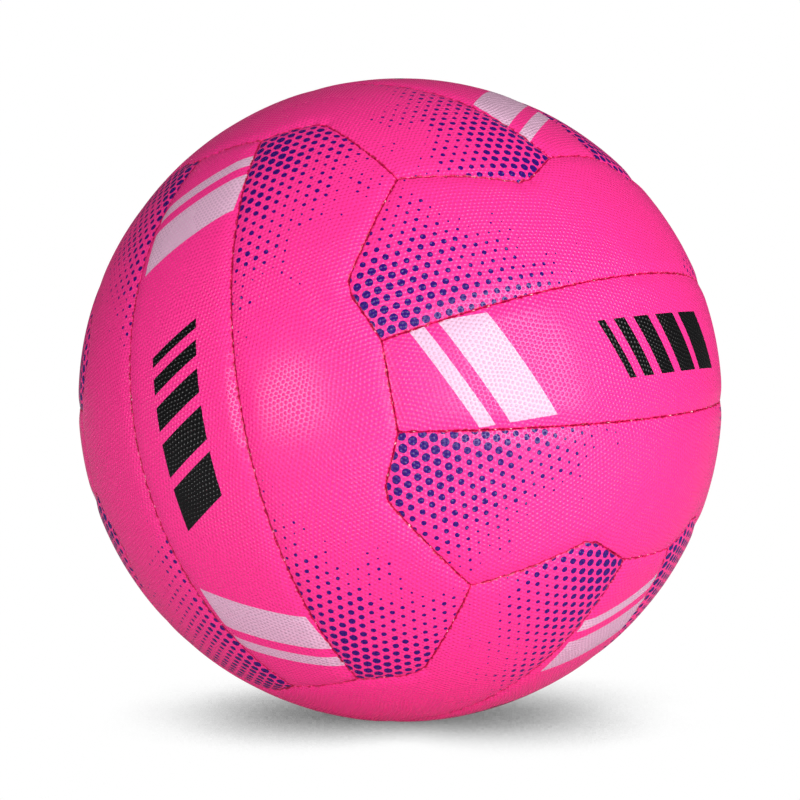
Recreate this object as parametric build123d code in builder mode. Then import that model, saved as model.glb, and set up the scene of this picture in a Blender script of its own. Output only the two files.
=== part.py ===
"""A size 5 netball: eighteen stitched rubber panels over cloth linings, a bladder and its valve.

The panels lie in six groups of three, one group for each face of a cube, and each group has a middle
strip and two side strips. Every seam is an arc of a great circle, so a panel is a slice of a shell whose
walls are planes through the ball's centre. The origin is the ball's centre, and +Z is up as it lies.
"""

import os
from math import degrees, floor, radians, sqrt, tan

from build123d import *

# Ball and panel outlines. Arc lengths run over the ball's surface, from the centre of a face.
BALL_DIAMETER = 222.0
STRIP_WIDTH = 46.5  # middle strip, side to side at its waist
STRIP_LENGTH = 207.0  # middle strip, end to end along its centre line
TIP_REACH = 110.5  # along the strips, out to the blunt tips of the side strips
TIP_START = 52.0  # across the strips, out to the near corner of a tip
TIP_WIDTH = 8.0  # across the strips, from corner to corner of a tip

# How the ball lies on the floor, in degrees
LIE_TILT = 12.9  # leaning sideways about the axis of the front face
LIE_TURN = 232.5  # turned about the vertical, from +X to the front face

# Layers, from the outside in
COVER_THICKNESS = 1.2
HEM_THICKNESS = 1.2  # turned-in edge of a cover panel
HEM_DEPTH = 3.2  # from the ball's surface to the free edge of the hem
EDGE_ROLL = 1.1  # rounding of a panel's edge into the seam
SEAM_GAP = 0.1  # between the hems of two neighbours
LINING_THICKNESS = 1.2
BLADDER_WALL = 0.8
LAYER_GAP = 0.1  # film of glue or air between two layers

# Stitching
STITCH_PITCH = 5.0
STITCH_CORNER = 3.5  # from a corner of a seam to its first stitch, at least
THREAD_WIDTH = 1.0  # pulled flat along the hems
THREAD_THICKNESS = 0.6
THREAD_DIAMETER = 0.7  # round through the needle holes
THREAD_TAIL = 1.0  # past the last hole of a run
NEEDLE_HOLE_GAP = 0.2  # around the thread in its hole

# Valve
VALVE_FACE = "left"
CORE_HEAD_DIAMETER = 8.6
CORE_DIAMETER = 6.8
CORE_LENGTH = 15.0  # below the head
CORE_RECESS = 0.4  # top of the head under the ball's surface
CORE_GAP = 0.05  # running gap around the core and under its head
NEEDLE_DIAMETER = 2.2
NEEDLE_DEPTH = 9.0
MOUTH_CHAMFER = 0.5
SLIT_WIDTH = 0.3
SLIT_LENGTH = 3.0
STEM_DIAMETER = 12.0
STEM_LENGTH = 14.0
STEM_GAP = 0.3  # around the stem and the core's head, where they pass through a layer
FLANGE_DIAMETER = 32.0
FLANGE_THICKNESS = 1.5
PATCH_DIAMETER = 40.0
PATCH_THICKNESS = 0.6

BALL_RADIUS = BALL_DIAMETER / 2
COVER_INNER = BALL_RADIUS - COVER_THICKNESS
HEM_EDGE = BALL_RADIUS - HEM_DEPTH
STITCH_RADIUS = (COVER_INNER + HEM_EDGE) / 2
HEM_INSET = SEAM_GAP / 2 + HEM_THICKNESS
THREAD_OFFSET = HEM_INSET + LAYER_GAP + THREAD_THICKNESS / 2
LINING_INSET = THREAD_OFFSET + THREAD_THICKNESS / 2 + LAYER_GAP
LINING_OUTER = COVER_INNER - LAYER_GAP
LINING_INNER = LINING_OUTER - LINING_THICKNESS
PATCH_OUTER = LINING_INNER - LAYER_GAP
PATCH_INNER = PATCH_OUTER - PATCH_THICKNESS
BLADDER_OUTER = min(HEM_EDGE, PATCH_INNER) - LAYER_GAP
BLADDER_INNER = BLADDER_OUTER - BLADDER_WALL
FLANGE_OUTER = BLADDER_INNER - LAYER_GAP
FLANGE_INNER = FLANGE_OUTER - FLANGE_THICKNESS
STEM_TOP = sqrt(COVER_INNER**2 - (STEM_DIAMETER / 2) ** 2) - LAYER_GAP
CORE_SEAT = STEM_TOP + CORE_GAP
CORE_TOP = BALL_RADIUS - CORE_RECESS

# Panel corners on the plane one unit out along the face's axis: (along the strips, across the strips)
STRIP_END = tan(STRIP_LENGTH / 2 / BALL_RADIUS)
STRIP_SIDE = tan(STRIP_WIDTH / 2 / BALL_RADIUS)
TIP_END = tan(TIP_REACH / BALL_RADIUS)
TIP_NEAR = tan(TIP_START / BALL_RADIUS)
TIP_FAR = tan((TIP_START + TIP_WIDTH) / BALL_RADIUS)

MIDDLE_CORNERS = [
    (-STRIP_END, -STRIP_SIDE),
    (STRIP_END, -STRIP_SIDE),
    (STRIP_END, STRIP_SIDE),
    (-STRIP_END, STRIP_SIDE),
]
SIDE_HALF = [
    (STRIP_END, STRIP_SIDE),
    (TIP_END, TIP_NEAR),
    (TIP_END, TIP_FAR),
    (1, 1),
    (TIP_FAR / TIP_END, 1 / TIP_END),
    (TIP_NEAR / TIP_END, 1 / TIP_END),
    (STRIP_SIDE / STRIP_END, 1 / STRIP_END),
]
SIDE_CORNERS = SIDE_HALF + [(-along, across) for along, across in reversed(SIDE_HALF)]

# Faces of the cube: where the strips of each face end, and what lies beside them
DIRECTIONS = {
    "front": Vector(1, 0, 0),
    "back": Vector(-1, 0, 0),
    "right": Vector(0, 1, 0),
    "left": Vector(0, -1, 0),
    "top": Vector(0, 0, 1),
    "bottom": Vector(0, 0, -1),
}
STRIP_ENDS = {
    "front": ("top", "bottom"),
    "back": ("top", "bottom"),
    "right": ("front", "back"),
    "left": ("front", "back"),
    "top": ("right", "left"),
    "bottom": ("right", "left"),
}
STRIP_NEIGHBOURS = {
    "front": ("right", "left"),
    "back": ("right", "left"),
    "right": ("top", "bottom"),
    "left": ("top", "bottom"),
    "top": ("front", "back"),
    "bottom": ("front", "back"),
}

POLES_ASIDE = (90, 0, 0)  # turns a sphere's poles away from the panels
WEDGE_FOOT = BALL_RADIUS / 4  # under the lowest point of every panel
WEDGE_TOP = BALL_RADIUS + COVER_THICKNESS  # clear of the ball


def lying(direction):
    """A direction of the cube, as the ball lies on the floor."""
    return direction.rotate(Axis.X, LIE_TILT).rotate(Axis.Z, LIE_TURN)


def end_plane(face, end):
    """Plane through the centre, square to a face's axis, with x towards one end of its strips."""
    return Plane((0, 0, 0), x_dir=lying(DIRECTIONS[end]), z_dir=lying(DIRECTIONS[face]))


def side_plane(face, neighbour):
    """Plane through the centre, square to a face's axis, with y towards a neighbouring face."""
    along = DIRECTIONS[neighbour].cross(DIRECTIONS[face])
    return Plane((0, 0, 0), x_dir=lying(along), z_dir=lying(DIRECTIONS[face]))


def outline(corners, inset, height):
    """Corner points, on the plane at a height, of a panel whose walls stand inside its seams."""
    rays = [Vector(along, across, 1) for along, across in corners]
    walls = [ray.cross(after).normalized() for ray, after in zip(rays, rays[1:] + rays[:1])]
    points = []
    for before, wall in zip(walls[-1:] + walls[:-1], walls):
        reach_before = inset - before.Z * height
        reach = inset - wall.Z * height
        spread = before.X * wall.Y - before.Y * wall.X
        across = (before.X * reach - wall.X * reach_before) / spread
        along = (wall.Y * reach_before - before.Y * reach) / spread
        points.append((along, across))
    return points


def make_wedge(corners, inset):
    """The space between a panel's flat walls, from deep inside the ball to outside it."""
    foot = [Vector(*point, WEDGE_FOOT) for point in outline(corners, inset, WEDGE_FOOT)]
    top = [Vector(*point, WEDGE_TOP) for point in outline(corners, inset, WEDGE_TOP)]
    faces = [Face(Wire.make_polygon(foot)), Face(Wire.make_polygon(top))]
    edges = list(zip(foot, top))
    for (low, high), (next_low, next_high) in zip(edges, edges[1:] + edges[:1]):
        faces.append(Face(Wire.make_polygon([low, high, next_high, next_low])))
    return Solid(Shell(faces))


def seam_layout(start, end):
    """Plane of a seam with x through its middle, and its stitches: how many, over what angle."""
    first = Vector(*start, 1).normalized()
    last = Vector(*end, 1).normalized()
    plane = Plane((0, 0, 0), x_dir=first + last, z_dir=first.cross(last))
    length = BALL_RADIUS * radians(first.get_angle(last))
    count = floor((length - 2 * STITCH_CORNER) / STITCH_PITCH) + 1
    spread = degrees((count - 1) * STITCH_PITCH / BALL_RADIUS)
    return plane, count, spread


def make_cover(corners):
    """Rubber panel with rolled edges and a hem turned in all round, pierced for the thread."""
    with BuildPart() as hollow:
        add(make_wedge(corners, HEM_INSET))
        Sphere(COVER_INNER, rotation=POLES_ASIDE, mode=Mode.INTERSECT)
    with BuildPart() as cover:
        add(make_wedge(corners, SEAM_GAP / 2))
        Sphere(BALL_RADIUS, rotation=POLES_ASIDE, mode=Mode.INTERSECT)
        fillet(cover.edges().group_by(lambda edge: edge.position_at(0.5).length)[-1], EDGE_ROLL)
        add(hollow.part, mode=Mode.SUBTRACT)
        Sphere(HEM_EDGE, rotation=POLES_ASIDE, mode=Mode.SUBTRACT)
        for start, end in zip(corners, corners[1:] + corners[:1]):
            plane, count, spread = seam_layout(start, end)
            if count > 0:
                with BuildSketch(plane.offset(-THREAD_OFFSET)):
                    with PolarLocations(STITCH_RADIUS, count, -spread / 2, spread, endpoint=True):
                        Circle(THREAD_DIAMETER / 2 + NEEDLE_HOLE_GAP)
                extrude(amount=2 * THREAD_OFFSET, mode=Mode.SUBTRACT)
    return cover.part


def make_lining(corners):
    """Cloth glued behind a cover panel, clear of the hem and of the thread along it."""
    with BuildPart() as lining:
        add(make_wedge(corners, LINING_INSET))
        Sphere(LINING_OUTER, rotation=POLES_ASIDE, mode=Mode.INTERSECT)
        Sphere(LINING_INNER, rotation=POLES_ASIDE, mode=Mode.SUBTRACT)
    return lining.part


def make_thread(seams):
    """Two threads along each seam, one on either side of its hems, meeting in every needle hole."""
    with BuildPart() as thread:
        for start, end in seams:
            plane, count, spread = seam_layout(start, end)
            with BuildSketch(plane.offset(-THREAD_OFFSET)):
                with PolarLocations(STITCH_RADIUS, count, -spread / 2, spread, endpoint=True):
                    Circle(THREAD_DIAMETER / 2)
            extrude(amount=2 * THREAD_OFFSET)
            axis = Axis((0, 0, 0), plane.z_dir)
            reach = spread + 2 * degrees(THREAD_TAIL / BALL_RADIUS)
            first = plane.x_dir.rotate(axis, -reach / 2)
            with BuildSketch(Plane((0, 0, 0), x_dir=first, z_dir=first.cross(plane.z_dir))):
                with Locations((STITCH_RADIUS, THREAD_OFFSET), (STITCH_RADIUS, -THREAD_OFFSET)):
                    Rectangle(THREAD_WIDTH, THREAD_THICKNESS)
            revolve(axis=axis, revolution_arc=reach)
    return thread.part


def write(part, name):
    """Label a finished piece and write its file."""
    part.label = name
    export_step(part, f"parts/{name}.step")


os.makedirs("parts", exist_ok=True)

# One panel, lining and thread of each kind
middle_cover = make_cover(MIDDLE_CORNERS)
side_cover = make_cover(SIDE_CORNERS)
middle_lining = make_lining(MIDDLE_CORNERS)
side_lining = make_lining(SIDE_CORNERS)
strip_thread = make_thread([
    ((-STRIP_END, STRIP_SIDE), (STRIP_END, STRIP_SIDE)),
    ((STRIP_END, -STRIP_SIDE), (-STRIP_END, -STRIP_SIDE)),
])
edge_thread = make_thread([
    ((1, 1), (TIP_END, TIP_FAR)),
    ((TIP_END, TIP_NEAR), (STRIP_END, STRIP_SIDE)),
    ((STRIP_END, STRIP_SIDE), (STRIP_END, -STRIP_SIDE)),
    ((STRIP_END, -STRIP_SIDE), (TIP_END, -TIP_NEAR)),
    ((TIP_END, -TIP_FAR), (1, -1)),
])

# The ball's six faces
for face, ends in STRIP_ENDS.items():
    plane = end_plane(face, ends[0])

    with BuildPart(plane) as cover:
        add(middle_cover)
        if face == VALVE_FACE:
            with BuildSketch(plane):
                Circle(CORE_HEAD_DIAMETER / 2 + STEM_GAP)
            extrude(amount=BALL_DIAMETER, mode=Mode.SUBTRACT)
    write(cover.part, f"cover_{face}_middle")

    with BuildPart(plane) as lining:
        add(middle_lining)
        if face == VALVE_FACE:
            with BuildSketch(plane):
                Circle(STEM_DIAMETER / 2 + STEM_GAP)
            extrude(amount=BALL_DIAMETER, mode=Mode.SUBTRACT)
    write(lining.part, f"lining_{face}_middle")

    for neighbour in STRIP_NEIGHBOURS[face]:
        with BuildPart(side_plane(face, neighbour)) as cover:
            add(side_cover)
        write(cover.part, f"cover_{face}_{neighbour}")

        with BuildPart(side_plane(face, neighbour)) as lining:
            add(side_lining)
        write(lining.part, f"lining_{face}_{neighbour}")

    with BuildPart(plane) as thread:
        add(strip_thread)
    write(thread.part, f"strip_thread_{face}")

    for end in ends:
        with BuildPart(end_plane(face, end)) as thread:
            add(edge_thread)
        write(thread.part, f"edge_thread_{face}_{end}")

# Bladder, with the valve's stem through its wall
valve_plane = end_plane(VALVE_FACE, STRIP_ENDS[VALVE_FACE][0])

with BuildPart(valve_plane) as bladder:
    Sphere(BLADDER_OUTER, rotation=POLES_ASIDE)
    Sphere(BLADDER_INNER, rotation=POLES_ASIDE, mode=Mode.SUBTRACT)
    with BuildSketch(valve_plane):
        Circle(STEM_DIAMETER / 2 + STEM_GAP)
    extrude(amount=BALL_DIAMETER, mode=Mode.SUBTRACT)
write(bladder.part, "bladder")

with BuildPart(valve_plane) as valve_patch:
    with BuildSketch(valve_plane):
        Circle(PATCH_DIAMETER / 2)
        Circle(STEM_DIAMETER / 2 + STEM_GAP, mode=Mode.SUBTRACT)
    extrude(amount=BALL_DIAMETER)
    Sphere(PATCH_OUTER, rotation=POLES_ASIDE, mode=Mode.INTERSECT)
    Sphere(PATCH_INNER, rotation=POLES_ASIDE, mode=Mode.SUBTRACT)
write(valve_patch.part, "valve_patch")

with BuildPart(valve_plane) as valve_housing:
    with BuildSketch(valve_plane):
        Circle(FLANGE_DIAMETER / 2)
    extrude(amount=BALL_DIAMETER)
    Sphere(FLANGE_OUTER, rotation=POLES_ASIDE, mode=Mode.INTERSECT)
    Sphere(FLANGE_INNER, rotation=POLES_ASIDE, mode=Mode.SUBTRACT)
    with BuildSketch(valve_plane.offset(STEM_TOP)):
        Circle(STEM_DIAMETER / 2)
    extrude(amount=-STEM_LENGTH)
    with BuildSketch(valve_plane.offset(STEM_TOP)):
        Circle(CORE_DIAMETER / 2 + CORE_GAP)
    extrude(amount=-BALL_RADIUS, mode=Mode.SUBTRACT)
write(valve_housing.part, "valve_housing")

with BuildPart(valve_plane) as valve_core:
    with BuildSketch(valve_plane.offset(CORE_SEAT)):
        Circle(CORE_HEAD_DIAMETER / 2)
    extrude(amount=CORE_TOP - CORE_SEAT)
    with BuildSketch(valve_plane.offset(CORE_SEAT)):
        Circle(CORE_DIAMETER / 2)
    extrude(amount=-CORE_LENGTH)
    with BuildSketch(valve_plane.offset(CORE_TOP)):
        Circle(NEEDLE_DIAMETER / 2)
    extrude(amount=-NEEDLE_DEPTH, mode=Mode.SUBTRACT)
    mouth = valve_core.edges().filter_by(GeomType.CIRCLE).sort_by(lambda edge: edge.radius)
    top = mouth.group_by(lambda edge: edge.radius)[0].sort_by(lambda edge: edge.arc_center.length)[-1]
    chamfer(top, MOUTH_CHAMFER)
    with BuildSketch(valve_plane.offset(CORE_SEAT - CORE_LENGTH)):
        Rectangle(SLIT_LENGTH, SLIT_WIDTH)
    extrude(amount=CORE_TOP - NEEDLE_DEPTH - CORE_SEAT + CORE_LENGTH, mode=Mode.SUBTRACT)
write(valve_core.part, "valve_core")
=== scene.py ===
"""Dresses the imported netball: stitched panels of pebbled, printed rubber, their thread and the valve.

The panels are made once, with their face's axis up, and copied to their places on the ball. The ball's
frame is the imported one: the origin is the ball's centre, +Z is up, and lengths are in metres.
"""

from math import acos, asin, atan2, cos, exp, floor, pi, radians, sin, sqrt, tan
from random import Random

import bmesh
import bpy
from bpy.props import FloatProperty, FloatVectorProperty, PointerProperty
from mathutils import Matrix, Vector, noise


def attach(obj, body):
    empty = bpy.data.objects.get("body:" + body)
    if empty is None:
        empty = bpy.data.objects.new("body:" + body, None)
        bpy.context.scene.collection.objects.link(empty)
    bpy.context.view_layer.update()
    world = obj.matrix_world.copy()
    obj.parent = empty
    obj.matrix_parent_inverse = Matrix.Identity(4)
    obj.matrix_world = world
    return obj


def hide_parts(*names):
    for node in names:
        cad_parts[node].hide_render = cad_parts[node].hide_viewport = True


bl_info = {
    "name": "Netball",
    "version": (1, 0, 0),
    "blender": (4, 5, 0),
    "location": "View3D > Sidebar > Netball",
    "description": "Builds the looks of a stitched netball around its packed solids",
    "category": "Object",
}

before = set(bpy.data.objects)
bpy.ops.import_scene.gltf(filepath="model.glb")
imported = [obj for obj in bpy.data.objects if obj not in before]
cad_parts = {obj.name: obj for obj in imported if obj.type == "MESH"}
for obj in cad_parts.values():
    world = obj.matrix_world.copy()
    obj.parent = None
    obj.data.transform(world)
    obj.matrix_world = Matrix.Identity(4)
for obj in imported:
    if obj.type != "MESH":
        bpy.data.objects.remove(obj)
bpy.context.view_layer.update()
MM = 0.001

# Faces of the cube that the panels lie on: where the strips of each end, and what lies beside them
DIRECTIONS = {
    "front": Vector((1, 0, 0)),
    "back": Vector((-1, 0, 0)),
    "right": Vector((0, 1, 0)),
    "left": Vector((0, -1, 0)),
    "top": Vector((0, 0, 1)),
    "bottom": Vector((0, 0, -1)),
}
STRIP_ENDS = {
    "front": ("top", "bottom"),
    "back": ("top", "bottom"),
    "right": ("front", "back"),
    "left": ("front", "back"),
    "top": ("right", "left"),
    "bottom": ("right", "left"),
}
STRIP_NEIGHBOURS = {
    "front": ("right", "left"),
    "back": ("right", "left"),
    "right": ("top", "bottom"),
    "left": ("top", "bottom"),
    "top": ("front", "back"),
    "bottom": ("front", "back"),
}
VALVE_FACE = "left"
LIE = Matrix.Rotation(radians(232.5), 3, "Z") @ Matrix.Rotation(radians(12.9), 3, "X")

# Panel meshes
GRID_LENGTH, GRID_WIDTH = 212 * MM, 64 * MM  # covers either kind of panel
GRID_STEP = 1.25 * MM
SIDE_TILT = radians(26)  # from the face's axis to the centre line of a side strip
SEAM_ROWS = [0.05 * MM, 0.2 * MM, 0.47 * MM, 0.82 * MM, 1.2 * MM, 2.0 * MM, 3.2 * MM]  # from a seam
ROW_SNAP = 0.08 * MM
ROW_REACH = 6 * MM  # how far from a seam its rows are cut
UV_SPAN = 250 * MM  # of the panels' own map, from side to side
HEM_DEPTH = 3 * MM
WALL = 0.9 * MM
PULL_WIDTH = 3 * MM  # drawn in by the thread, either side of a seam
PUCKER_DEPTH, PUCKER_WIDTH = 0.28 * MM, 1.9 * MM  # at a stitch
SWELLS = [(0.14 * MM, 38 * MM), (0.05 * MM, 11 * MM)]  # height and width of a filled panel's unevenness
MOUTH_CUT, MOUTH_REACH = 6.3 * MM, 10 * MM  # radius in which faces are taken out, and their edges looked for
MOUTH_RINGS = [(5.4, 0.0), (4.95, 0.06), (4.72, 0.25), (4.6, 0.6), (4.6, 2.2)]  # radius and depth, mm

# Thread
STITCH_CORNER = 3.5 * MM  # least distance from a seam's end to a stitch
STITCH_SLANTS = 0.5, 1.1  # least and most turn of a stitch from square across its seam, in radians
STITCH_DEPTHS = 1.65 * MM, 2.4 * MM  # least and most, from the ball's surface
STITCH_REACH, STITCH_RISE = 1.35 * MM, 0.78 * MM  # half the length and half the height of a loop
RUN_DEPTH, RUN_OFFSET, RUN_RADIUS = 2.2 * MM, 1.65 * MM, 0.3 * MM  # of the two runs behind a seam

# Print, in mm from the middle of a strip: spans of the bars along it, and how far across it they go
BAR_SLANT = 0.5  # how far a bar leans along the strip for each mm across it
PALE_BARS, PALE_HALF = [(61.05, 77), (81.95, 86.9)], 17
DARK_BARS, DARK_HALF = [(-28, -14), (-10, 0.48), (4.48, 12), (16, 21), (25, 28)], 9.5
PALE_REACH, DARK_REACH = (0, 110), (-40, 40)  # as short as may be, since a ramp has only 256 steps
DOTS_SLANT, DOTS_RAGGED = -0.9, 84  # lean and raggedness of a field of dots
DOTS_START, DOTS_FULL = 90, 148  # where the dots begin, and where they nearly touch

# Stage, in metres: lamps with their azimuth and elevation, width and height, and power
LAMPS = [
    ("left_softbox", -36, 2, 0.56, 0.76, 8.8),
    ("right_softbox", 39, 9, 1.2, 1.4, 26.5),
    ("back_softbox", 186, 14, 0.8, 0.8, 12.0),
]
LAMP_DISTANCE = 1.4
CAMERA_LENS, CAMERA_RAISED, CAMERA_DISTANCE = 97.2, 5.5, 0.7534
FLOOR_HALF = 6
ROOM_LIGHT, ROOM_IN_GLOSS = 0.36, 0.06
PAPER_LIGHT, PAPER_IN_GLOSS = 0.82, 0.25
SHADOW_REACH = 0.5
# Painted shadow on the floor: its darkest and its clear level
SHADOW_DARK, SHADOW_CLEAR = 0.16, 0.37  # share of the side light that reaches the floor


def srgb(code):
    """Linear colour of an sRGB hex value."""
    parts = [int(code[i:i + 2], 16) / 255 for i in (1, 3, 5)]
    return [p / 12.92 if p <= 0.04045 else ((p + 0.055) / 1.055) ** 2.4 for p in parts]


class NetballSizes(bpy.types.PropertyGroup):
    """Sizes of the ball, its panels, seams and grain."""

    diameter: FloatProperty(
        name="Diameter", description="Of the ball, over its panels", default=0.222, unit="LENGTH")
    strip_width: FloatProperty(
        name="Strip width", description="Middle strip at its waist", default=0.0465, unit="LENGTH")
    strip_length: FloatProperty(
        name="Strip length", description="Middle strip, end to end", default=0.207, unit="LENGTH")
    tip_reach: FloatProperty(
        name="Tip reach", description="Along the strips, out to the side strips' tips",
        default=0.1105, unit="LENGTH")
    tip_start: FloatProperty(
        name="Tip start", description="Across the strips, out to the near corner of a tip",
        default=0.052, unit="LENGTH")
    tip_width: FloatProperty(
        name="Tip width", description="Corner to corner of a tip", default=0.008, unit="LENGTH")
    edge_roll: FloatProperty(
        name="Edge roll", description="Rounding of a panel's edge into its seam",
        default=0.0006, unit="LENGTH")
    seam_pull: FloatProperty(
        name="Seam pull", description="How far the thread draws a panel's edge in",
        default=0.0005, unit="LENGTH")
    stitch_pitch: FloatProperty(
        name="Stitch pitch", description="From stitch to stitch along a seam",
        default=0.005, unit="LENGTH")
    thread: FloatProperty(
        name="Thread", description="Diameter of the waxed thread", default=0.0008, unit="LENGTH")
    pebble_pitch: FloatProperty(
        name="Pebble pitch", description="From pebble to pebble of the moulded grain",
        default=0.0015, unit="LENGTH")
    pebble_height: FloatProperty(
        name="Pebble height", description="Of a pebble over the web around it",
        default=0.00022, unit="LENGTH")
    dot_pitch: FloatProperty(
        name="Dot pitch", description="From dot to dot of the printed fields",
        default=0.0037, unit="LENGTH")


class NetballColours(bpy.types.PropertyGroup):
    """Colours of the ball's materials."""

    rubber: FloatVectorProperty(
        name="Rubber", description="Cover panels", subtype="COLOR", default=srgb("#FA2E8D"))
    pale_ink: FloatVectorProperty(
        name="Pale ink", description="Bars near the ends of the strips", subtype="COLOR",
        default=srgb("#E1B2CE"))
    dark_ink: FloatVectorProperty(
        name="Dark ink", description="Bars at the middle of the strips", subtype="COLOR",
        default=srgb("#080709"))
    dot_ink: FloatVectorProperty(
        name="Dot ink", description="Fields of dots", subtype="COLOR", default=srgb("#300470"))
    # The seam colour is painted shade: the dark crimson of the grooves between the panels
    seam: FloatVectorProperty(
        name="Seam", description="Bare rubber in the seams", subtype="COLOR", default=srgb("#DE0A55"))
    thread: FloatVectorProperty(
        name="Thread", description="Waxed polyester", subtype="COLOR", default=srgb("#EFC4CF"))
    cloth: FloatVectorProperty(
        name="Lining", description="Cotton behind the panels", subtype="COLOR", default=srgb("#D8CFBE"))
    bladder: FloatVectorProperty(
        name="Bladder", description="Butyl rubber", subtype="COLOR", default=srgb("#2A2A2C"))
    patch: FloatVectorProperty(
        name="Patch", description="Rubber around the valve", subtype="COLOR", default=srgb("#2E2C2E"))
    valve: FloatVectorProperty(
        name="Valve", description="Moulded rubber of the valve", subtype="COLOR",
        default=srgb("#1C1B1E"))


def panel_corners(sizes):
    """Corners of a middle and of a side strip, on the plane one unit out along the face's axis."""
    radius = sizes.diameter / 2
    end = tan(sizes.strip_length / 2 / radius)
    side = tan(sizes.strip_width / 2 / radius)
    tip = tan(sizes.tip_reach / radius)
    near = tan(sizes.tip_start / radius)
    far = tan((sizes.tip_start + sizes.tip_width) / radius)
    middle = [(-end, -side), (end, -side), (end, side), (-end, side)]
    half = [(end, side), (tip, near), (tip, far), (1, 1)]
    half += [(far / tip, 1 / tip), (near / tip, 1 / tip), (side / end, 1 / end)]
    return middle, half + [(-x, y) for x, y in reversed(half)]


def place_on(face, along):
    """Matrix from a face's own axes, strips along x and its axis along z, to the ball as it lies."""
    up = DIRECTIONS[face]
    return (LIE @ Matrix((along, up.cross(along), up)).transposed()).to_4x4()


def seam_between(start, end):
    """The two ends of a seam as directions, and the normal of its plane, which points to its left."""
    first = Vector((*start, 1)).normalized()
    last = Vector((*end, 1)).normalized()
    return first, last, first.cross(last).normalized()


def seams_round(corners):
    """The seams of a panel, in order."""
    return [seam_between(start, end) for start, end in zip(corners, corners[1:] + corners[:1])]


def along_seam(seam, direction):
    """Angles from a direction to a seam and, along the seam, from its middle."""
    first, last, normal = seam
    middle = (first + last).normalized()
    along = atan2(normal.cross(middle).dot(direction), middle.dot(direction))
    if normal.cross(first).dot(direction) < 0:
        return acos(min(1, first.dot(direction))), along
    if last.cross(normal).dot(direction) < 0:
        return acos(min(1, last.dot(direction))), along
    return abs(asin(max(-1, min(1, normal.dot(direction))))), along


def stitch_count(sizes, seam):
    """How many stitches a seam has."""
    length = sizes.diameter / 2 * seam[0].angle(seam[1])
    return max(0, floor((length - 2 * STITCH_CORNER) / sizes.stitch_pitch) + 1)


def within(direction, corners):
    """Whether a direction lies inside a panel's outline, by the edges that a line from it crosses."""
    x, y = direction.x / direction.z, direction.y / direction.z
    crossed = False
    for (x0, y0), (x1, y1) in zip(corners, corners[1:] + corners[:1]):
        if (y0 > y) != (y1 > y) and x < x0 + (y - y0) * (x1 - x0) / (y1 - y0):
            crossed = not crossed
    return crossed


def seam_dip(sizes, distance, along, count):
    """How deep a panel's surface lies at a distance from a seam: rolled edge, pull and stitch puckers."""
    roll = max(0, sizes.edge_roll - distance)
    rolled = sizes.edge_roll - sqrt(sizes.edge_roll**2 - roll**2)
    pulled = sizes.seam_pull * exp(-((distance / PULL_WIDTH) ** 2))
    beat = cos(2 * pi * (along / sizes.stitch_pitch - (count - 1) / 2))
    pucker = PUCKER_DEPTH * (1 + beat) / 2 * exp(-((distance / PUCKER_WIDTH) ** 2))
    return rolled + pulled + pucker


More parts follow.
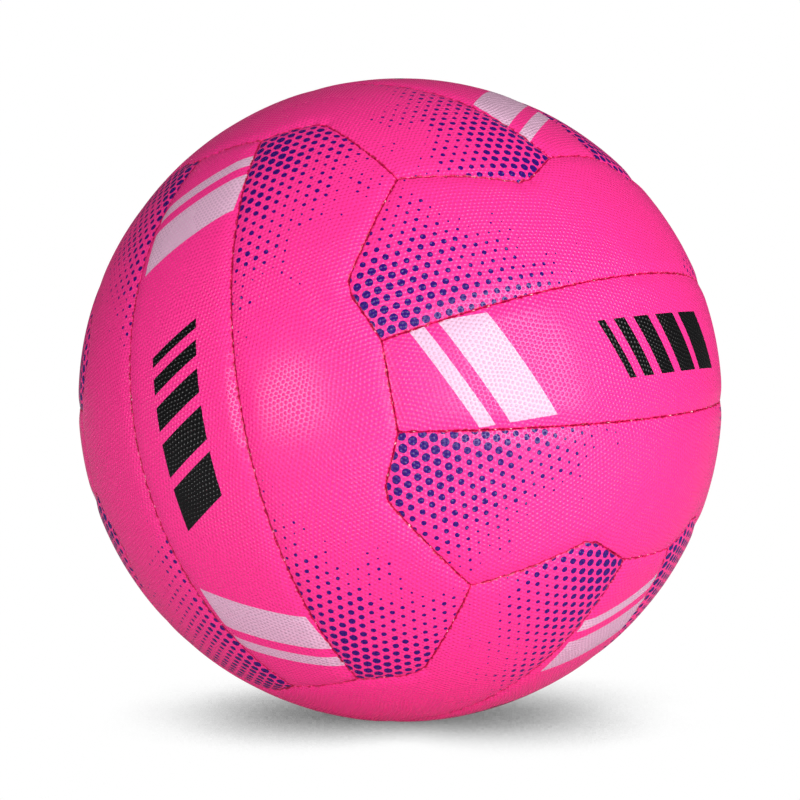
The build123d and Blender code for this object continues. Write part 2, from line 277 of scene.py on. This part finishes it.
def make_panel(name, sizes, corners, tilt, mouth=False):
    """Mesh of a panel: a grid laid over the ball, cut along its seams and drawn in at them."""
    radius = sizes.diameter / 2
    seams = seams_round(corners)
    counts = [stitch_count(sizes, seam) for seam in seams]
    turn = Matrix.Rotation(-tilt, 3, "X")
    bm = bmesh.new()
    bmesh.ops.create_grid(
        bm, x_segments=round(GRID_LENGTH / GRID_STEP), y_segments=round(GRID_WIDTH / GRID_STEP),
        size=0.5, matrix=Matrix.Diagonal((GRID_LENGTH, GRID_WIDTH, 1, 1)))
    for vert in bm.verts:
        u, v = vert.co.x / radius, vert.co.y / radius
        vert.co = turn @ Vector((sin(u) * cos(v), sin(v), cos(u) * cos(v))) * radius

    for seam in seams:
        near = [face for face in bm.faces
                if along_seam(seam, face.calc_center_median().normalized())[0] * radius < ROW_REACH]
        geom = {*near, *(e for face in near for e in face.edges), *(v for face in near for v in face.verts)}
        geom = sorted(geom, key=lambda item: (str(type(item)), item.index))
        for row in SEAM_ROWS:
            geom = bmesh.ops.bisect_plane(
                bm, geom=geom, dist=ROW_SNAP, plane_co=seam[2] * row, plane_no=seam[2],
                use_snap_center=True)["geom"]
        bm.verts.index_update()
        bm.edges.index_update()
        bm.faces.index_update()
    outside = [face for face in bm.faces if not within(face.calc_center_median(), corners)]
    bmesh.ops.delete(bm, geom=outside, context="FACES")

    seam_layer = bm.verts.layers.float.new("seam")
    for vert in bm.verts:
        direction = vert.co.normalized()
        dips = 0
        nearest = 1.0
        for seam, count in zip(seams, counts):
            angle, along = along_seam(seam, direction)
            dips += seam_dip(sizes, angle * radius, along * radius, count) ** 3
            nearest = min(nearest, angle * radius)
        vert[seam_layer] = nearest / MM
        vert.co = direction * (radius - dips ** (1 / 3))

    rim = [edge for edge in bm.edges if edge.is_boundary]
    hem = bmesh.ops.extrude_edge_only(bm, edges=rim)["geom"]
    for vert in [item for item in hem if isinstance(item, bmesh.types.BMVert)]:
        vert.co = vert.co.normalized() * (radius - HEM_DEPTH)
        vert[seam_layer] = 0
    if mouth:
        middle = [face for face in bm.faces if face.calc_center_median().xy.length < MOUTH_CUT]
        bmesh.ops.delete(bm, geom=middle, context="FACES")
        rim = [edge for edge in bm.edges if edge.is_boundary and edge.verts[0].co.xy.length < MOUTH_REACH]
        for ring, depth in MOUTH_RINGS:
            grown = bmesh.ops.extrude_edge_only(bm, edges=rim)["geom"]
            rim = [item for item in grown if isinstance(item, bmesh.types.BMEdge)]
            for vert in [item for item in grown if isinstance(item, bmesh.types.BMVert)]:
                spot = vert.co.xy.normalized() * ring * MM
                vert.co = (*spot, sqrt((radius - depth * MM) ** 2 - spot.length_squared))
    bmesh.ops.recalc_face_normals(bm, faces=bm.faces)

    uv_layer = bm.loops.layers.uv.new("panel")
    back = turn.transposed()
    for face in bm.faces:
        face.smooth = True
        for loop in face.loops:
            spot = (back @ loop.vert.co).normalized()
            u, v = atan2(spot.x, spot.z) * radius, asin(spot.y) * radius
            loop[uv_layer].uv = (u / UV_SPAN + 0.5, v / UV_SPAN + 0.5)
    mesh = bpy.data.meshes.new(name)
    bm.to_mesh(mesh)
    bm.free()
    return mesh


def finish_piece(mesh, name, materials, node=None, body="ball"):
    """Makes a piece of a mesh that is in its place, and ties it to the frame."""
    piece = bpy.data.objects.new(name, mesh)
    bpy.context.scene.collection.objects.link(piece)
    mesh.materials.clear()
    for material in materials:
        mesh.materials.append(material)
    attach(piece, body)
    if node:
        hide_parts(node)
    return piece


def lay_panel(master, name, place, materials):
    """Copies a panel to its place, a little uneven as a filled ball's panels are."""
    mesh = master.copy()
    mesh.transform(place)
    for vert in mesh.vertices:
        swell = sum(height * noise.noise(vert.co / width) for height, width in SWELLS)
        vert.co += vert.co.normalized() * swell
    piece = finish_piece(mesh, f"panel_{name}", materials, f"cover_{name}")
    wall = piece.modifiers.new("wall", "SOLIDIFY")
    wall.thickness = WALL
    wall.offset = -1
    wall.material_offset = 1
    return piece


def add(tree, kind, inputs=(), stops=(), **settings):
    """Adds a node: its settings, its colour stops, and its inputs, each a value or a socket to link."""
    node = tree.nodes.new(kind)
    for name, value in settings.items():
        setattr(node, name, value)
    if stops:
        node.color_ramp.interpolation = "CONSTANT"
        node.color_ramp.elements.remove(node.color_ramp.elements[1])
    for position, shade in stops:
        element = node.color_ramp.elements.new(position) if position else node.color_ramp.elements[0]
        element.color = (shade, shade, shade, 1)
    for key, value in inputs.items() if isinstance(inputs, dict) else enumerate(inputs):
        if isinstance(value, bpy.types.NodeSocket):
            tree.links.new(value, node.inputs[key])
        elif value is not None:
            node.inputs[key].default_value = value
    return node


def new_material(name):
    """A material with a Principled shader, its tree and the shader."""
    material = bpy.data.materials.new(name)
    material.use_nodes = True
    return material, material.node_tree, material.node_tree.nodes["Principled BSDF"]


def lattice(tree, place, pitch, turn):
    """Sum of three waves: 3 at the points of a lattice of triangles, and -1.5 amid each triangle."""
    waves = []
    for third in range(3):
        angle = turn + third * 2 * pi / 3
        step = 2 * pi / (pitch / MM * sqrt(3) / 2)
        across = (step * cos(angle), step * sin(angle), 0)
        phase = add(tree, "ShaderNodeVectorMath", [place, across], operation="DOT_PRODUCT")
        waves.append(add(tree, "ShaderNodeMath", [phase.outputs["Value"]], operation="COSINE").outputs[0])
    pair = add(tree, "ShaderNodeMath", waves[:2], operation="ADD")
    return add(tree, "ShaderNodeMath", [pair.outputs[0], waves[2]], operation="ADD").outputs[0]


def printed_rubber(name, sizes, colours, draw):
    """Pebbled rubber, compression moulded and screen printed.

    The mould leaves a lattice of small domed pebbles with a web between them, satin all over. The web
    shines where it mirrors a lamp, and around that place each pebble holds a glint of its own. A little
    painted shade deepens the pebbles' colour. Where the edges roll into the seams, the groove's shade is
    painted in as a dark crimson line.
    """
    material, tree, shader = new_material(name)
    spot = add(tree, "ShaderNodeTexCoord").outputs["Object"]
    own_map = add(tree, "ShaderNodeUVMap", uv_map="panel").outputs["UV"]
    half = -UV_SPAN / MM / 2
    place = add(tree, "ShaderNodeMapping", {
        "Vector": own_map, "Location": (half, half, 0), "Scale": (UV_SPAN / MM, UV_SPAN / MM, 1),
    }).outputs[0]

    # The mould is cut by hand, so its lattice wanders over about 12 mm
    drift = add(tree, "ShaderNodeTexNoise", {"Vector": spot, "Scale": 1 / (12 * MM), "Detail": 1.0})
    wander = add(tree, "ShaderNodeVectorMath", [drift.outputs["Color"], (2.6, 2.6, 0), place],
                 operation="MULTIPLY_ADD").outputs[0]
    waves = lattice(tree, wander, sizes.pebble_pitch, radians(11))
    pebble = add(tree, "ShaderNodeMapRange", [waves, -0.9, 0.1, 0.0, 1.0],
                 interpolation_type="SMOOTHSTEP").outputs[0]
    dome = add(tree, "ShaderNodeMapRange", [waves, -0.7, 3.0, 0.0, 1.0]).outputs[0]
    fine = add(tree, "ShaderNodeTexNoise", {"Vector": spot, "Scale": 1 / (0.5 * MM), "Detail": 2.0})
    cloudy = add(tree, "ShaderNodeTexNoise", {"Vector": spot, "Scale": 1 / (30 * MM), "Detail": 3.0})

    # Pink mass, a little lighter and darker over some centimetres, with painted shade deepening it on the
    # pebbles
    pebble_painted_shade = [channel * share for channel, share in zip(colours.rubber, (0.98, 0.9, 0.94))]
    lighter = [min(1, channel * share) for channel, share in zip(colours.rubber, (1.0, 1.16, 1.05))]
    mass = add(tree, "ShaderNodeMix", {0: cloudy.outputs["Fac"], 6: (*lighter, 1), 7: (*colours.rubber, 1)},
               data_type="RGBA").outputs[2]
    colour = add(tree, "ShaderNodeMix", {0: pebble, 6: mass, 7: (*pebble_painted_shade, 1)}, data_type="RGBA").outputs[2]

    # Inks, with painted shade darkening them a little on the pebbles too
    for mask, ink in draw(tree, place, spot, sizes, colours):
        ink_painted_shade = [channel * 0.88 for channel in ink]
        inked = add(tree, "ShaderNodeMix", {0: pebble, 6: (*ink, 1), 7: (*ink_painted_shade, 1)},
                    data_type="RGBA").outputs[2]
        colour = add(tree, "ShaderNodeMix", {0: mask, 6: colour, 7: inked}, data_type="RGBA").outputs[2]

    # Painted shade of the seam's groove: a dark crimson line up to half a millimetre either side, with a
    # frayed edge and darker painted shade in gaps along it
    seam = add(tree, "ShaderNodeAttribute", attribute_name="seam").outputs["Fac"]
    fray = add(tree, "ShaderNodeTexNoise", {"Vector": spot, "Scale": 1 / (1.5 * MM), "Detail": 2.0})
    seam = add(tree, "ShaderNodeMath", [fray.outputs["Fac"], -1.4, seam],
               operation="MULTIPLY_ADD").outputs[0]
    groove_shade_mask = add(tree, "ShaderNodeMapRange", [seam, -0.55, -0.15, 1.0, 0.0],
               interpolation_type="SMOOTHSTEP").outputs[0]
    gap = add(tree, "ShaderNodeMapRange", [fray.outputs["Fac"], 0.4, 0.6, 0.0, 1.0]).outputs[0]
    shaded = [channel * 0.6 for channel in colours.seam]
    edge = add(tree, "ShaderNodeMix", {0: gap, 6: (*colours.seam, 1), 7: (*shaded, 1)},
               data_type="RGBA").outputs[2]
    colour = add(tree, "ShaderNodeMix", {0: groove_shade_mask, 6: colour, 7: edge}, data_type="RGBA").outputs[2]
    tree.links.new(colour, shader.inputs["Base Color"])

    rough = add(tree, "ShaderNodeMapRange", [cloudy.outputs["Fac"], 0.3, 0.7, 0.22, 0.28]).outputs[0]
    rough = add(tree, "ShaderNodeMath", [pebble, 0.03, rough], operation="MULTIPLY_ADD").outputs[0]
    tree.links.new(rough, shader.inputs["Roughness"])
    shader.inputs["Specular IOR Level"].default_value = 0.45

    # The pebbles, and a skin about a hundredth of a millimetre high
    skin = add(tree, "ShaderNodeMath", [fine.outputs["Fac"], 0.05], operation="MULTIPLY").outputs[0]
    height = add(tree, "ShaderNodeMath", [skin, dome], operation="ADD").outputs[0]
    bump = add(tree, "ShaderNodeBump", {
        "Height": height, "Distance": sizes.pebble_height, "Strength": 1.0})
    tree.links.new(bump.outputs[0], shader.inputs["Normal"])
    return material


def draw_side(tree, place, spot, sizes, colours):
    """Print of a side strip: dots that grow towards the ends of its straight seam."""
    axes = add(tree, "ShaderNodeSeparateXYZ", [place])
    out = add(tree, "ShaderNodeMath", [axes.outputs[0]], operation="ABSOLUTE").outputs[0]
    lean = add(tree, "ShaderNodeMath", [axes.outputs[1], DOTS_SLANT, out],
               operation="MULTIPLY_ADD").outputs[0]
    ragged = add(tree, "ShaderNodeTexNoise", {
        "Vector": spot, "Scale": 1 / (10 * MM), "Detail": 4.0, "Roughness": 0.65})
    lean = add(tree, "ShaderNodeMath", [ragged.outputs["Fac"], DOTS_RAGGED, lean],
               operation="MULTIPLY_ADD").outputs[0]
    level = add(tree, "ShaderNodeMapRange", [lean, DOTS_START, DOTS_FULL, 3.1, -0.6]).outputs[0]
    dots = lattice(tree, place, sizes.dot_pitch, radians(18))
    over = add(tree, "ShaderNodeMath", [dots, level], operation="SUBTRACT").outputs[0]
    mask = add(tree, "ShaderNodeMapRange", [over, -0.12, 0.12, 0.0, 1.0],
               interpolation_type="SMOOTHSTEP").outputs[0]
    return [(mask, colours.dot_ink)]


def bars(tree, along, across, reach, spans, half):
    """Mask of bars printed on a strip: their reach and spans along it, and how far across it they go."""
    low, length = reach[0], reach[1] - reach[0]
    level = add(tree, "ShaderNodeMath", [along, 1 / length, -low / length],
                operation="MULTIPLY_ADD").outputs[0]
    stops = [(0.0, 0)]
    for start, end in spans:
        stops += [((start - low) / length, 1), ((end - low) / length, 0)]
    ramp = add(tree, "ShaderNodeValToRGB", [level], stops=stops).outputs["Color"]
    out = add(tree, "ShaderNodeMath", [across], operation="ABSOLUTE").outputs[0]
    band = add(tree, "ShaderNodeMath", [out, half], operation="LESS_THAN").outputs[0]
    return add(tree, "ShaderNodeMath", [ramp, band], operation="MULTIPLY").outputs[0]


def draw_valve_strip(tree, place, spot, sizes, colours):
    """Print of the strip that the valve is in: slanted pale bars near its ends."""
    axes = add(tree, "ShaderNodeSeparateXYZ", [place])
    along, across = axes.outputs[:2]
    out = add(tree, "ShaderNodeMath", [along], operation="ABSOLUTE").outputs[0]
    slant = add(tree, "ShaderNodeMath", [across, BAR_SLANT, out], operation="MULTIPLY_ADD").outputs[0]
    return [(bars(tree, slant, across, PALE_REACH, PALE_BARS, PALE_HALF), colours.pale_ink)]


def draw_strip(tree, place, spot, sizes, colours):
    """Print of the other middle strips: the same pale bars, and dark ones at the middle."""
    axes = add(tree, "ShaderNodeSeparateXYZ", [place])
    along, across = axes.outputs[:2]
    slant = add(tree, "ShaderNodeMath", [across, BAR_SLANT, along], operation="MULTIPLY_ADD").outputs[0]
    dark = bars(tree, slant, across, DARK_REACH, DARK_BARS, DARK_HALF)
    return draw_valve_strip(tree, place, spot, sizes, colours) + [(dark, colours.dark_ink)]


def plain_material(name, colour, roughness, feature, change):
    """A moulded or spun material whose colour varies a little over a feature's size."""
    material, tree, shader = new_material(name)
    spot = add(tree, "ShaderNodeTexCoord").outputs["Object"]
    speckle = add(tree, "ShaderNodeTexNoise", {"Vector": spot, "Scale": 1 / feature, "Detail": 3.0})
    dark = [channel * (1 - change) for channel in colour]
    light = [min(1, channel * (1 + change)) for channel in colour]
    mixed = add(tree, "ShaderNodeMix", {0: speckle.outputs["Fac"], 6: (*dark, 1), 7: (*light, 1)},
                data_type="RGBA").outputs[2]
    tree.links.new(mixed, shader.inputs["Base Color"])
    shader.inputs["Roughness"].default_value = roughness
    return material


def woven_lining(name, colours, along, across):
    """Plain cotton weave, laminated to the panels.

    Threads 1.2 mm apart go over and under each other, so the cloth is a check of lit and shaded crossings.
    """
    material, tree, shader = new_material(name)
    spot = add(tree, "ShaderNodeTexCoord").outputs["Object"]
    threads = []
    for way in (along, across):
        step = way * pi / (1.2 * MM)
        phase = add(tree, "ShaderNodeVectorMath", [spot, step], operation="DOT_PRODUCT").outputs["Value"]
        threads.append(add(tree, "ShaderNodeMath", [phase], operation="SINE").outputs[0])
    check = add(tree, "ShaderNodeMath", threads, operation="MULTIPLY").outputs[0]
    slub = add(tree, "ShaderNodeTexNoise", {"Vector": spot, "Scale": 1 / (5 * MM), "Detail": 3.0})
    check = add(tree, "ShaderNodeMath", [slub.outputs["Fac"], 1.2, check],
                operation="MULTIPLY_ADD").outputs[0]
    shade = add(tree, "ShaderNodeMapRange", [check, -0.4, 1.6, 0.0, 1.0]).outputs[0]
    under = [channel * 0.6 for channel in colours.cloth]
    cloth = add(tree, "ShaderNodeMix", {0: shade, 6: (*under, 1), 7: (*colours.cloth, 1)},
                data_type="RGBA").outputs[2]
    tree.links.new(cloth, shader.inputs["Base Color"])
    shader.inputs["Roughness"].default_value = 0.9
    return material


def dusted_bladder(colours):
    """Butyl rubber, dipped and dusted with talc: dark, cloudy, with pale specks that cling to it."""
    material, tree, shader = new_material("dipped_butyl_bladder")
    spot = add(tree, "ShaderNodeTexCoord").outputs["Object"]
    cloudy = add(tree, "ShaderNodeTexNoise", {"Vector": spot, "Scale": 1 / (18 * MM), "Detail": 4.0})
    specks = add(tree, "ShaderNodeTexNoise", {"Vector": spot, "Scale": 1 / (1.6 * MM), "Detail": 2.0})
    dust = add(tree, "ShaderNodeMath", [cloudy.outputs["Fac"], specks.outputs["Fac"]], operation="MULTIPLY")
    dust = add(tree, "ShaderNodeMapRange", [dust.outputs[0], 0.2, 0.45, 0.0, 0.5]).outputs[0]
    talc = (*srgb("#B9B4AC"), 1)
    colour = add(tree, "ShaderNodeMix", {0: dust, 6: (*colours.bladder, 1), 7: talc},
                 data_type="RGBA").outputs[2]
    tree.links.new(colour, shader.inputs["Base Color"])
    shader.inputs["Roughness"].default_value = 0.5
    return material


def valve_rubber_material(colours):
    """Soft black rubber, injection moulded: satin, with the mould's fine spark grain and a little dust."""
    material, tree, shader = new_material("moulded_valve_rubber")
    spot = add(tree, "ShaderNodeTexCoord").outputs["Object"]
    grain = add(tree, "ShaderNodeTexNoise", {"Vector": spot, "Scale": 1 / (0.35 * MM), "Detail": 3.0})
    cloudy = add(tree, "ShaderNodeTexNoise", {"Vector": spot, "Scale": 1 / (3 * MM), "Detail": 3.0})
    dusty = [channel + 0.02 for channel in colours.valve]
    colour = add(tree, "ShaderNodeMix", {
        0: cloudy.outputs["Fac"], 6: (*colours.valve, 1), 7: (*dusty, 1)}, data_type="RGBA").outputs[2]
    tree.links.new(colour, shader.inputs["Base Color"])
    rough = add(tree, "ShaderNodeMapRange", [cloudy.outputs["Fac"], 0.3, 0.7, 0.4, 0.56]).outputs[0]
    tree.links.new(rough, shader.inputs["Roughness"])
    bump = add(tree, "ShaderNodeBump", {
        "Height": grain.outputs["Fac"], "Distance": 0.03 * MM, "Strength": 1.0})
    tree.links.new(bump.outputs[0], shader.inputs["Normal"])
    return material


class NETBALL_OT_panels(bpy.types.Operator):
    """Lay the eighteen cover panels"""

    bl_idname = "netball.panels"
    bl_label = "Cover panels"

    def execute(self, context):
        sizes, colours = context.scene.netball_sizes, context.scene.netball_colours
        middle, side = panel_corners(sizes)
        strip = make_panel("strip", sizes, middle, 0)
        mouth = make_panel("strip_mouth", sizes, middle, 0, mouth=True)
        flank = make_panel("flank", sizes, side, SIDE_TILT)
        back = plain_material("moulded_rubber_back", srgb("#C8387F"), 0.6, 4 * MM, 0.1)
        strip_rubber = printed_rubber("printed_rubber_strip", sizes, colours, draw_strip)
        valve_rubber = printed_rubber("printed_rubber_valve_strip", sizes, colours, draw_valve_strip)
        side_rubber = printed_rubber("printed_rubber_side", sizes, colours, draw_side)
        for face, ends in STRIP_ENDS.items():
            master, rubber = (mouth, valve_rubber) if face == VALVE_FACE else (strip, strip_rubber)
            lay_panel(master, f"{face}_middle", place_on(face, DIRECTIONS[ends[0]]), [rubber, back])
            for neighbour in STRIP_NEIGHBOURS[face]:
                along = DIRECTIONS[neighbour].cross(DIRECTIONS[face])
                lay_panel(flank, f"{face}_{neighbour}", place_on(face, along), [side_rubber, back])
        for master in (strip, mouth, flank):
            bpy.data.meshes.remove(master)
        return {"FINISHED"}


def sew(sizes, seams, place, name, node, material, chance):
    """Thread of some seams: two runs behind the hems, and a loop through them at every stitch."""
    radius = sizes.diameter / 2
    bm = bmesh.new()
    for first, last, normal in seams:
        count = stitch_count(sizes, (first, last, normal))
        middle = (first + last).normalized()
        step = sizes.stitch_pitch / radius
        reach = (count - 1) * step
        for side in (-1, 1):
            run = Matrix.Rotation(-reach / 2, 3, normal) @ middle
            run_place = Matrix((normal, run, normal.cross(run))).transposed().to_4x4()
            run_place.translation = run * (radius - RUN_DEPTH) + normal * side * RUN_OFFSET
            start = bmesh.ops.create_circle(
                bm, segments=6, radius=RUN_RADIUS, cap_ends=True, matrix=run_place)
            faces = list({face for vert in start["verts"] for face in vert.link_faces})
            bmesh.ops.spin(bm, geom=faces, axis=normal, angle=reach, steps=2 * count, use_duplicate=False)
        for number in range(count):
            turn = Matrix.Rotation((number - (count - 1) / 2) * step, 3, normal)
            out = turn @ middle
            slant = Matrix.Rotation(chance.uniform(*STITCH_SLANTS), 3, out)
            across = slant @ normal
            loop = Matrix((across, out.cross(across), out)).transposed().to_4x4()
            loop.translation = out * (radius - chance.uniform(*STITCH_DEPTHS))
            loop = loop @ Matrix.Diagonal((STITCH_REACH, sizes.thread / 2, STITCH_RISE, 1))
            bmesh.ops.create_uvsphere(bm, u_segments=8, v_segments=6, radius=1, matrix=loop)
    bmesh.ops.recalc_face_normals(bm, faces=bm.faces)
    for face in bm.faces:
        face.smooth = True
    mesh = bpy.data.meshes.new(name)
    bm.to_mesh(mesh)
    bm.free()
    mesh.transform(place)
    return finish_piece(mesh, name, [material], node)


class NETBALL_OT_thread(bpy.types.Operator):
    """Sew the strip seams and the edge seams"""

    bl_idname = "netball.thread"
    bl_label = "Seam thread"

    def execute(self, context):
        sizes, colours = context.scene.netball_sizes, context.scene.netball_colours
        middle, side = panel_corners(sizes)
        end, tip_near, tip_far, vertex = side[:4]
        strip_seams = [seam_between(middle[0], middle[1]), seam_between(middle[2], middle[3])]
        edge_seams = [
            seam_between(vertex, tip_far),
            seam_between(tip_near, end),
            seam_between(end, (end[0], -end[1])),
            seam_between((end[0], -end[1]), (tip_near[0], -tip_near[1])),
            seam_between((tip_far[0], -tip_far[1]), (1, -1)),
        ]
        # Polyester, twisted and waxed: matt, off-white, a little dusty
        material = plain_material("waxed_polyester_thread", colours.thread, 0.55, 0.8 * MM, 0.12)
        chance = Random(7)
        for face, ends in STRIP_ENDS.items():
            name = f"strip_thread_{face}"
            sew(sizes, strip_seams, place_on(face, DIRECTIONS[ends[0]]), f"stitches_{face}", name, material,
                chance)
            for tip in ends:
                name = f"edge_thread_{face}_{tip}"
                sew(sizes, edge_seams, place_on(face, DIRECTIONS[tip]), f"stitches_{face}_{tip}", name,
                    material, chance)
        return {"FINISHED"}


class NETBALL_OT_inside(bpy.types.Operator):
    """Finish the linings, the bladder and the valve"""

    bl_idname = "netball.inside"
    bl_label = "Linings, bladder and valve"

    def execute(self, context):
        colours = context.scene.netball_colours
        finishes = {}
        for face, ends in STRIP_ENDS.items():
            along = DIRECTIONS[ends[0]]
            cloth = woven_lining(
                f"woven_cotton_{face}", colours, LIE @ along, LIE @ DIRECTIONS[face].cross(along))
            for neighbour in ("middle", *STRIP_NEIGHBOURS[face]):
                finishes[f"lining_{face}_{neighbour}"] = cloth
        finishes["bladder"] = dusted_bladder(colours)
        finishes["valve_housing"] = finishes["valve_core"] = valve_rubber_material(colours)
        # Butyl rubber, calendered on cloth: near black, matt, a little mottled
        finishes["valve_patch"] = plain_material(
            "calendered_butyl_patch", colours.patch, 0.75, 2 * MM, 0.18)
        for name, finish in finishes.items():
            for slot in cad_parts[name].material_slots:
                slot.material = finish
        return {"FINISHED"}


def paper_material():
    """White paper sweep, dim in the gloss.

    To the eye it glows white, with a painted shadow: the glow is dimmed by how much the ball hides of the
    sky leaning to the left or to the right, so the shadow is wider than it is deep.
    """
    material, tree, shader = new_material("white_paper_floor")
    rays = add(tree, "ShaderNodeLightPath")
    glossy = rays.outputs["Is Glossy Ray"]
    grey = add(tree, "ShaderNodeMath", [glossy, PAPER_IN_GLOSS - PAPER_LIGHT, PAPER_LIGHT],
               operation="MULTIPLY_ADD").outputs[0]
    tree.links.new(grey, shader.inputs["Base Color"])
    shader.inputs["Roughness"].default_value = 0.8
    reach = []
    for side in (-1, 1):
        lean = add(tree, "ShaderNodeCombineXYZ", [side * sqrt(0.5), 0.0, sqrt(0.5)]).outputs[0]
        reach.append(add(tree, "ShaderNodeAmbientOcclusion", {"Distance": SHADOW_REACH, "Normal": lean},
                         samples=16).outputs["AO"])
    painted_shadow_mask = add(tree, "ShaderNodeMath", reach, operation="MINIMUM").outputs[0]
    level = add(tree, "ShaderNodeMapRange", [painted_shadow_mask, SHADOW_DARK, SHADOW_CLEAR, 0.0, 1.0]).outputs[0]
    level = add(tree, "ShaderNodeMath", [level, 0.75], operation="POWER").outputs[0]
    # The paper's glow, dimmed by the painted shadow
    paper = add(tree, "ShaderNodeEmission", {"Strength": level}).outputs[0]
    mixed = add(tree, "ShaderNodeMixShader", [rays.outputs["Is Camera Ray"], shader.outputs[0], paper])
    tree.links.new(mixed.outputs[0], tree.nodes["Material Output"].inputs["Surface"])
    return material


def lay_floor(radius):
    """Lays the paper under the ball."""
    bm = bmesh.new()
    bmesh.ops.create_grid(
        bm, x_segments=1, y_segments=1, size=FLOOR_HALF, matrix=Matrix.Translation((0, 0, -radius)))
    mesh = bpy.data.meshes.new("studio_floor")
    bm.to_mesh(mesh)
    bm.free()
    mesh.materials.append(paper_material())
    piece = bpy.data.objects.new("studio_floor", mesh)
    bpy.context.scene.collection.objects.link(piece)


def room_world():
    """White to the eye. Its walls send soft light back, and the dim room shows in the gloss."""
    world = bpy.data.worlds.new("studio")
    world.use_nodes = True
    tree = world.node_tree
    rays = add(tree, "ShaderNodeLightPath")
    seen = add(tree, "ShaderNodeMath", [rays.outputs["Is Camera Ray"], rays.outputs["Is Transmission Ray"]],
               operation="MAXIMUM").outputs[0]
    glossy = rays.outputs["Is Glossy Ray"]
    room = add(tree, "ShaderNodeMath", [glossy, ROOM_IN_GLOSS - ROOM_LIGHT, ROOM_LIGHT],
               operation="MULTIPLY_ADD").outputs[0]
    soft = add(tree, "ShaderNodeBackground", [(1, 1, 1, 1), room]).outputs[0]
    clear = add(tree, "ShaderNodeBackground", [(1, 1, 1, 1), 1.0]).outputs[0]
    mixed = add(tree, "ShaderNodeMixShader", [seen, soft, clear]).outputs[0]
    tree.links.new(mixed, tree.nodes["World Output"].inputs["Surface"])
    return world


def stand(name, data, azimuth, elevation, distance):
    """Stands a lamp or the camera around the ball, facing its centre. Azimuth 0 is in front of it."""
    holder = bpy.data.objects.new(name, data)
    turn, raised = radians(azimuth), radians(elevation)
    holder.location = Vector((sin(turn) * cos(raised), -cos(turn) * cos(raised), sin(raised))) * distance
    holder.rotation_euler = (-holder.location).to_track_quat("-Z", "Y").to_euler()
    bpy.context.scene.collection.objects.link(holder)
    return holder


class NETBALL_OT_stage(bpy.types.Operator):
    """Set the floor, the lights and the camera"""

    bl_idname = "netball.stage"
    bl_label = "Stage"

    def execute(self, context):
        scene = context.scene
        scene.view_settings.view_transform = "Standard"
        scene.world = room_world()
        lay_floor(scene.netball_sizes.diameter / 2)
        for name, azimuth, elevation, width, height, power in LAMPS:
            lamp = bpy.data.lights.new(name, "AREA")
            lamp.shape = "ELLIPSE"
            lamp.size, lamp.size_y = width, height
            lamp.energy = power
            holder = stand(name, lamp, azimuth, elevation, LAMP_DISTANCE)
            holder.visible_glossy = azimuth < 90  # the lamp behind the ball stays out of its gloss
        camera = bpy.data.cameras.new("camera")
        camera.lens = CAMERA_LENS
        scene.camera = stand("camera", camera, 0, CAMERA_RAISED, CAMERA_DISTANCE)
        return {"FINISHED"}


class NETBALL_PT_sidebar(bpy.types.Panel):
    """Sizes, colours and steps of the netball"""

    bl_idname = "NETBALL_PT_sidebar"
    bl_label = "Netball"
    bl_space_type = "VIEW_3D"
    bl_region_type = "UI"
    bl_category = "Netball"

    def draw(self, context):
        for group in (context.scene.netball_sizes, context.scene.netball_colours):
            for name in group.__annotations__:
                self.layout.prop(group, name)
        for step in STEPS:
            self.layout.operator(step.bl_idname)


STEPS = (NETBALL_OT_panels, NETBALL_OT_thread, NETBALL_OT_inside, NETBALL_OT_stage)
CLASSES = (NetballSizes, NetballColours, *STEPS, NETBALL_PT_sidebar)


def register():
    """Make the classes and the scene's settings known to Blender."""
    for cls in CLASSES:
        bpy.utils.register_class(cls)
    bpy.types.Scene.netball_sizes = PointerProperty(type=NetballSizes)
    bpy.types.Scene.netball_colours = PointerProperty(type=NetballColours)


def unregister():
    """Take them away again."""
    del bpy.types.Scene.netball_colours
    del bpy.types.Scene.netball_sizes
    for cls in reversed(CLASSES):
        bpy.utils.unregister_class(cls)


def main():
    """Build the netball step by step."""
    register()
    bpy.ops.netball.panels()
    bpy.ops.netball.thread()
    bpy.ops.netball.inside()
    bpy.ops.netball.stage()


if __name__ == "__main__":
    main()
